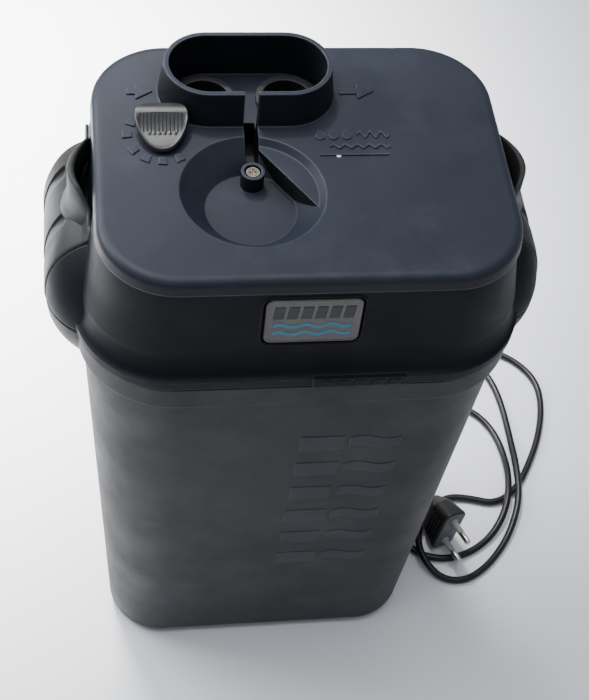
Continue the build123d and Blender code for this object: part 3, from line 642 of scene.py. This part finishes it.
def clamp_grip(y_front, table):
    """The grip that stands up round the opening, flared into the shell at its foot, for the right clamp."""
    start, end, steps = y_front + 0.4, 31.2, 110
    shoulder = [p for p in table if 305 < p[1] < 330]
    rings = []
    for i in range(steps + 1):
        y = start + (end - start) * i / steps
        front = smoothstep(min(1.0, max(0.0, (-7.0 - y) / 16.0)))
        tall = LIP_TOP - 15.5 * front - 1.5 * max(0.0, (y - 29.5) / 1.7) ** 2
        outer, inner = lip_x(y, 8.7) + 1.7, lip_x(y, 6.9) + 0.2
        foot_x = outer + 1.6
        foot_z = min(shoulder, key=lambda p: abs(p[0] - dome_fall(y, p[1]) - foot_x))[1]
        bend = 0.45 * (tall - foot_z)
        section = [
            (foot_x + 2.2, foot_z - 2.4), (foot_x + 0.5, foot_z + 0.4), (outer + 0.8, foot_z + bend * 0.45),
            (outer + 0.3, foot_z + bend), (outer, tall - 1.2), (outer - 0.5, tall - 0.3),
            (outer - 0.9, tall), (inner + 0.4, tall - 0.3), (inner, tall - 1.2), (inner, foot_z + bend),
            (inner + 0.1, foot_z - 1.0)]
        rings.append([(x, y, z) for x, z in section])
    return rings_to_mesh(rings)


def make_clamp(name, side, mats):
    """side is 1 for the right clamp and -1 for the left."""

    def mirrored(vertices, faces):
        return [(side * x, y, z) for x, y, z in vertices], faces

    profile = clamp_outer()
    table = [along_profile(profile, i / 400) for i in range(401)]
    y_front, y_rear = CLAMP_Y - CLAMP_HALF, CLAMP_Y + CLAMP_HALF
    shell = piece(f"{name}_shell", *mirrored(*clamp_shell(y_front, y_rear, profile, table)), mats["clamp"],
                  name, "clamp_plastic")
    # normals point outwards on both sides, the wall grows inwards
    mesh = shell.data
    middle = mesh.polygons[len(mesh.polygons) // 2]
    if middle.normal.x * side < 0:
        mesh.flip_normals()
    solid = shell.modifiers.new("wall", "SOLIDIFY")
    solid.thickness = CLAMP_WALL * MM
    solid.offset = -1
    soften(shell, 0.45, 50)
    piece(f"{name}_grip", *mirrored(*clamp_grip(y_front, table)), mats["clamp"], name, "clamp_plastic")
    barrel = []
    for y0, y1 in ((y_front + 0.3, y_front + 17), (CLAMP_Y - 9, CLAMP_Y + 9), (y_rear - 17, y_rear - 0.3)):
        length = y1 - y0
        barrel.append(lathe([(0, 4.9), (0.7, 5.7), (length - 0.7, 5.7), (length, 4.9)],
                            (side * HINGE_AT[0], y0, HINGE_AT[1]), (0, 1, 0), 32))
    piece(f"{name}_knuckles", *join(barrel), mats["clamp"], name, "clamp_plastic")
    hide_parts(name)


# ---- priming knob ---------------------------------------------------------------------------------------
KNOB_AT = (-63.3, 12.3)
KNOB_Z = 358.0
KNOB_HALF = 12.2


def knob_half(v):
    """Half width of the thumb knob: a broad bar at the rear that narrows to a round front."""
    if v > 3.0:
        return KNOB_HALF * max(0.0, 1 - ((v - 3.0) / 8.7) ** 3.2) ** (1 / 3.2)
    return KNOB_HALF * max(0.0, 1 - ((3.0 - v) / 14.8) ** 2.4) ** (1 / 2.4) * (1 - 0.018 * (3.0 - v))


def knob_reach(angle):
    """Distance from the middle to the outline in a direction, by halving."""
    low, high = 0.0, 18.0
    for _ in range(24):
        middle = (low + high) / 2
        if abs(middle * math.cos(angle)) < knob_half(middle * math.sin(angle)):
            low = middle
        else:
            high = middle
    return low


def knob_rim(v):
    """Height of the rim, falling towards the front."""
    return 9.0 if v > 5.0 else 3.0 + 6.0 * max(0.0, (v + 11.8) / 16.8)


def knob_top(u, v, reach):
    """Rounded bar at the rear, a ribbed wall down from it, a row of pips and a smooth front hollow."""
    if v > 5.0:
        height = 7.9 + 2.1 * math.sqrt(max(0.0, 1 - ((v - 7.9) / 4.1) ** 2))
    elif v > -2.7:
        height = 4.1 + 5.2 * ((v + 2.7) / 7.7) ** 1.25
        height += 0.17 * math.cos(2 * math.pi * u / 1.7) * min(1.0, (5.0 - v) / 1.0, (v + 2.7) / 0.8)
    else:
        height = 2.9 + 1.2 * ((v + 11.8) / 9.1) ** 2
    for k in range(6):
        height += 0.6 * max(0.0, 1 - math.hypot(u - (k - 2.5) * 2.3, v + 2.9) / 1.0)
    side = min(1.0, max(0.0, (reach - 0.84) / 0.08))
    height += (max(knob_rim(v), height) - height) * smoothstep(side)
    return height - 1.5 * max(0.0, (reach - 0.94) / 0.06) ** 2


def make_knob(mats):
    steps, layers = 112, 64
    angles = [2 * math.pi * i / steps for i in range(steps)]
    edge = [knob_reach(angle) for angle in angles]

    def ring(scale, height):
        """The outline at a scale; height is worked out from u, v and the outline's own v."""
        points = []
        for angle, radius in zip(angles, edge):
            u, v = scale * radius * math.cos(angle), scale * radius * math.sin(angle)
            points.append((KNOB_AT[0] + u, KNOB_AT[1] + v, KNOB_Z + height(u, v, radius * math.sin(angle))))
        return points

    rings = []
    for scale, share in ((0.80, 0.0), (0.83, 0.03), (0.85, 0.12), (0.90, 0.50), (0.95, 0.78), (0.985, 0.95)):
        rings.append(ring(scale, lambda u, v, edge_v: share * (knob_rim(edge_v) - 1.7)))
    for k in range(layers):
        reach = 1 - k / layers
        rings.append(ring(reach, lambda u, v, edge_v: knob_top(u, v, reach)))
    knob = piece("primer_thumb_knob", *rings_to_mesh(rings), mats["knob"], "primer", "knob_plastic")
    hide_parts("primer_knob")


# ---- marks and badge ------------------------------------------------------------------------------------
DECK_Z = 357.5


def on_deck(u, v, height):
    return (u, v, DECK_Z + height)


def arrow(x0, x1, y, width):
    """A plain flow arrow from x0 to x1."""
    way = 1 if x1 > x0 else -1
    neck = x1 - way * width
    return [(x0, y - width * 0.22), (neck, y - width * 0.22), (neck, y - width * 0.62), (x1, y),
            (neck, y + width * 0.62), (neck, y + width * 0.22), (x0, y + width * 0.22)][::way]


def bar(x0, x1, y0, y1, slant=0.0):
    """A block whose top is shifted by slant."""
    return [(x0, y0), (x1, y0), (x1 + slant, y1), (x0 + slant, y1)]


def wave(x0, x1, y, thick, swing, crests):
    """A wavy band of even thickness."""
    upper, lower = [], []
    steps = 14 * crests
    for i in range(steps + 1):
        x = x0 + (x1 - x0) * i / steps
        rise = swing * math.sin(2 * math.pi * crests * i / steps)
        upper.append((x, y + rise + thick / 2))
        lower.append((x, y + rise - thick / 2))
    return lower + upper[::-1]


def droplet(x, y, size):
    points = []
    steps = 24
    for i in range(steps):
        turn = 2 * math.pi * i / steps
        tip = max(0.0, math.sin(turn))
        points.append((x + size * math.cos(turn) * (1 - 0.35 * tip),
                       y + size * math.sin(turn) * (1 + 0.55 * tip ** 3)))
    return points


def raised(name, outlines, lift, high, material, slot, width=0.18, low=-0.3):
    """Flat outlines as one piece from low to high over the surface that lift gives."""
    obj = piece(name, *join([prism(outline, lift, low, high) for outline in outlines]), material, "base",
                slot, smooth=False)
    soften(obj, width)


def on_tub(u, v, height):
    """The leaning front wall of the tub, v is height above the floor."""
    return (u, -(65.5 + 11.5 * (v - 2.0) / 272.0) - height, v)


def on_flange(u, v, height):
    return (u, -81.15 - height, v)


def make_marks(mats):
    deck = mats["deck"]
    raised("flow_arrow_in", [arrow(-78.0, -66.0, 40.3, 8.0)], on_deck, 0.8, deck, "shell_plastic")
    raised("flow_arrow_out", [arrow(20.5, 37.0, 39.6, 8.0)], on_deck, 0.8, deck, "shell_plastic")
    mark = [droplet(x, 11.2, 2.5) for x in (8.5, 14.6, 20.7)]
    mark += [wave(25.5, 40.5, 11.8, 1.7, 1.6, 3), wave(12.5, 40.0, 4.6, 1.5, 1.0, 5),
             bar(7.0, 39.0, -1.1, -0.3)]
    raised("lever_mark", mark, on_deck, 0.75, deck, "shell_plastic")
    ticks = []
    for degrees in (148, 177, 214, 242, 269, 297):
        turn = math.radians(degrees)
        out = Vector((math.cos(turn), math.sin(turn)))
        across = Vector((-out.y, out.x))
        centre = Vector(KNOB_AT) + out * 15.4
        ticks.append([tuple(centre + out * a + across * b)
                      for a, b in ((-2.2, -1.5), (2.2, -2.2), (2.2, 2.2), (-2.2, 1.5))])
    raised("knob_ticks", ticks, on_deck, 0.75, deck, "shell_plastic")
    dot_radius = 1.1
    dot = [(15.7 + dot_radius * math.cos(math.radians(a)), -1.2 + dot_radius * math.sin(math.radians(a)))
           for a in range(0, 360, 20)]
    raised("gate_mark", [dot], on_deck, 0.5, mats["white"], "shell_plastic", 0.25)
    bands = []
    for z in (96, 122, 148, 174, 200, 226):
        bands.append(bar(2.0, 24.0, z, z + 13.0))
        bands.append(wave(27.0, 53.0, z + 6.5, 9.0, 2.0, 1))
    raised("front_relief", bands, on_tub, 0.25, mats["relief"], "shell_plastic", 0.2)
    ribs = [bar(x, x + 5.2, 291.4, 295.2, 0.9) for x in (4.5, 12.5, 20.5, 28.5, 36.5)]
    raised("flange_tab_ribs", ribs, on_flange, 0.55, mats["head"], "shell_plastic", 0.15, low=-0.2)


BADGE_AT = (-1.2, 329.5)                # x and z of its middle
BADGE_LEAN = math.atan2(2.5, 39.0)      # of the head wall
BADGE_WALL = -(147.5 - 5.0 * (BADGE_AT[1] - 310.0) / 39.0) / 2


def on_badge(u, v, height):
    """u to the right and v up on the leaning head wall round the badge's middle."""
    return (BADGE_AT[0] + u, BADGE_WALL + v * math.sin(BADGE_LEAN) - height * math.cos(BADGE_LEAN),
            BADGE_AT[1] + v * math.cos(BADGE_LEAN) + height * math.sin(BADGE_LEAN))


def badge_ring(width, tall, radius, height):
    return [on_badge(u, v, height) for u, v in rounded_rect(width, tall, radius, 8)]


def make_badge(mats):
    plate = rings_to_mesh([
        badge_ring(42.5, 28.0, 3.6, -1.2), badge_ring(42.5, 28.0, 3.6, -0.1),
        badge_ring(42.0, 27.5, 3.4, 0.25), badge_ring(40.9, 26.4, 3.0, 0.25),
        badge_ring(40.3, 25.8, 2.8, -0.05)])
    obj = piece("badge", *plate, mats["badge"], "base", "badge_plastic")
    soften(obj, 0.12, 25)
    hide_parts("badge_plate")
    blocks = [bar(-18.0 + 6.2 * i, -13.4 + 6.2 * i, 1.6, 9.4, 0.8) for i in range(6)]
    waves = [wave(-17.5, 17.5, v, 2.4, 1.0, 3) for v in (-3.0, -8.0)]
    for name, outlines, key in (("badge_bars", blocks, "graphic_dark"),
                                ("badge_waves", waves, "graphic_cyan")):
        raised(name, outlines, on_badge, 0.10, mats[key], "badge_plastic", 0.05, low=-0.2)
    # bevelled frame of the recess, its last ring joined to its first
    frame_rings = [badge_ring(43.2, 28.7, 3.9, -1.3), badge_ring(45.4, 30.9, 4.9, 0.35),
                   badge_ring(46.8, 32.3, 5.6, 0.35), badge_ring(48.2, 33.7, 6.2, -0.3),
                   badge_ring(48.2, 33.7, 6.2, -1.3)]
    count = len(frame_rings[0])
    vertices, faces = rings_to_mesh(frame_rings, cap=False)
    last = (len(frame_rings) - 1) * count
    for j in range(count):
        k = (j + 1) % count
        faces.append((last + j, last + k, k, j))
    piece("badge_frame", vertices, faces, mats["head"], "base", "shell_plastic")


# ---- CAD nodes that stay --------------------------------------------------------------------------------
def paint_nodes(mats):
    nodes_of = {
        "tub": ["canister_body"], "head": ["head_shell"], "deck": ["head_cover"], "badge": ["badge_plate"],
        "knob": ["primer_knob"], "clamp": ["right_clamp", "left_clamp"], "plug": ["plug_body"],
        "lead": ["power_cord_drop", "cord_coil", "power_cord_loops"], "screw": ["cover_screw"],
        "rubber": ["rubber_feet", "lid_gasket", "primer_seal", "shaft_bushings", "strain_relief"],
        "inner": ["head_floor", "intake_port", "outlet_port", "outlet_duct", "impeller_cover",
                  "rotor_magnet", "rotor_well", "motor_housing", "primer_cylinder"],
        "steel": ["floor_screws", "impeller_shaft", "stator_core", "right_clamp_pin", "left_clamp_pin",
                  "plug_pins"],
        "white": ["impeller", "primer_rod", "primer_piston"], "copper": ["stator_coil"],
        "basket": ["media_basket_1", "media_basket_2", "media_basket_3", "media_basket_4", "basket_lid",
                   "foam_frame"],
        "foam_blue": ["coarse_foam"], "foam_white": ["fine_foam"]}
    for key, names in nodes_of.items():
        for name in names:
            for slot in NODES[name].material_slots:
                slot.material = mats[key]


# ---- floor and light ------------------------------------------------------------------------------------
FLOOR_HALF = 6.0
SUN_AT, SUN_TARGET = (-0.35, 0.90, 1.6), (-0.25, 0.42, 0)


def add_light(data, name, place, target):
    """Places a light in metres, looking at the target."""
    light = bpy.data.objects.new(name, data)
    bpy.context.collection.objects.link(light)
    light.location = place
    light.rotation_euler = (Vector(target) - Vector(place)).to_track_quat("-Z", "Y").to_euler()


def add_area(name, place, target, size_x, size_y, power, color):
    data = bpy.data.lights.new(name, "AREA")
    data.shape = "RECTANGLE"
    data.size = size_x
    data.size_y = size_y
    data.energy = power
    data.color = color
    add_light(data, name, place, target)


def make_stage():
    """A pale floor, a soft room, a window at the left rear and its patch of sun on the floor there."""
    m = Mat("floor_pale", 0.55)
    m.color(m.ramp(m.noise(1.5, 4, 0.6), [(0.3, (0.71, 0.72, 0.76)), (0.7, (0.76, 0.77, 0.80))]))
    m.bump([(m.noise(400, 3, 0.5), 0.03, 0.0004)])
    corners = [(x * FLOOR_HALF, y * FLOOR_HALF, 0) for x, y in ((-1, -1), (1, -1), (1, 1), (-1, 1))]
    mesh = bpy.data.meshes.new("floor")
    mesh.from_pydata(corners, [], [(0, 1, 2, 3)])
    floor = bpy.data.objects.new("floor", mesh)
    bpy.context.collection.objects.link(floor)
    paint(floor, m.material)

    world = bpy.data.worlds.new("soft_room")
    world.use_nodes = True
    background = world.node_tree.nodes["Background"]
    background.inputs["Color"].default_value = (0.86, 0.90, 1.0, 1)
    background.inputs["Strength"].default_value = 0.42
    bpy.context.scene.world = world

    add_area("window_left", (-1.05, 0.65, 0.95), (-0.1, 0.15, 0.1), 0.9, 0.8, 24, (0.95, 0.975, 1.0))
    sun = bpy.data.lights.new("sun_patch", "SPOT")
    sun.energy = 1300
    sun.spot_size = math.radians(34)
    sun.spot_blend = 1.0
    sun.shadow_soft_size = 0.25
    sun.color = (1.0, 0.99, 0.96)
    add_light(sun, "sun_patch", SUN_AT, SUN_TARGET)
    add_area("ceiling", (-0.35, 0.1, 2.3), (0.05, 0.05, 0.1), 1.6, 1.6, 44, (0.97, 0.98, 1.0))


add_camera()
MATS = make_materials()
make_lead(MATS)
paint_nodes(MATS)
make_stage()
make_clamp("right_clamp", 1, MATS)
make_clamp("left_clamp", -1, MATS)
make_knob(MATS)
make_marks(MATS)
make_badge(MATS)
